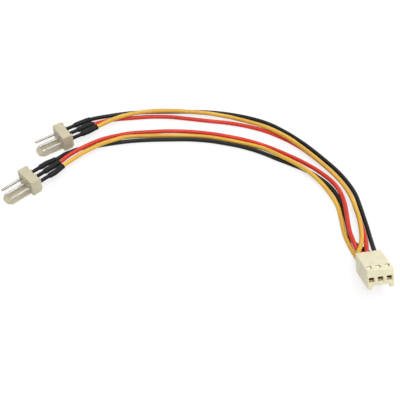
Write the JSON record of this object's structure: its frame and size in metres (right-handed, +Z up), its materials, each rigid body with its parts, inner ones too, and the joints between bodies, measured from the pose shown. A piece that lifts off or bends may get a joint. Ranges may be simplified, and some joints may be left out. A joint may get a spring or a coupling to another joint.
{
  "type": "fan splitter cable",
  "caption": "Y-shaped power splitter lead: one three-way socket housing feeds two pin headers through yellow, red and black wires.",
  "frame": {"origin": "on the table, under the middle of the box around the connectors and their sleeves", "axes": "+X from the two headers towards the socket housing, +Y towards the far side that the wires bow to, +Z up"},
  "size_m": [0.1172, 0.0803, 0.0117],
  "materials": {
    "housing": "moulded ivory nylon",
    "header": "moulded cream nylon",
    "pin": "tinned",
    "terminal": "plated",
    "copper": "stranded, bare",
    "solder": "bright solder",
    "sleeve": "shrunk tubing",
    "wire_yellow": "extruded jacket",
    "wire_red": "extruded jacket",
    "wire_black": "extruded jacket"
  },
  "bodies": {
    "root": {"female_housing": "housing", "crimp_terminal_yellow": "terminal", "crimp_terminal_red": "terminal", "crimp_terminal_black": "terminal", "header_a_base": "header", "header_a_pin_black": "pin", "header_a_pin_red": "pin", "header_a_pin_yellow": "pin", "header_b_base": "header", "header_b_pin_black": "pin", "header_b_pin_red": "pin", "header_b_pin_yellow": "pin", "wire_a_black": "wire_black", "heat_shrink_a_black": "sleeve", "solder_joint_a_black": "solder", "tinned_end_a_black": "copper", "crimped_end_a_black": "copper", "wire_a_red": "wire_red", "heat_shrink_a_red": "sleeve", "solder_joint_a_red": "solder", "tinned_end_a_red": "copper", "crimped_end_a_red": "copper", "wire_a_yellow": "wire_yellow", "heat_shrink_a_yellow": "sleeve", "solder_joint_a_yellow": "solder", "tinned_end_a_yellow": "copper", "crimped_end_a_yellow": "copper", "wire_b_black": "wire_black", "heat_shrink_b_black": "sleeve", "solder_joint_b_black": "solder", "tinned_end_b_black": "copper", "crimped_end_b_black": "copper", "wire_b_red": "wire_red", "heat_shrink_b_red": "sleeve", "solder_joint_b_red": "solder", "tinned_end_b_red": "copper", "crimped_end_b_red": "copper", "wire_b_yellow": "wire_yellow", "heat_shrink_b_yellow": "sleeve", "solder_joint_b_yellow": "solder", "tinned_end_b_yellow": "copper", "crimped_end_b_yellow": "copper"}
  },
  "joints": []
}
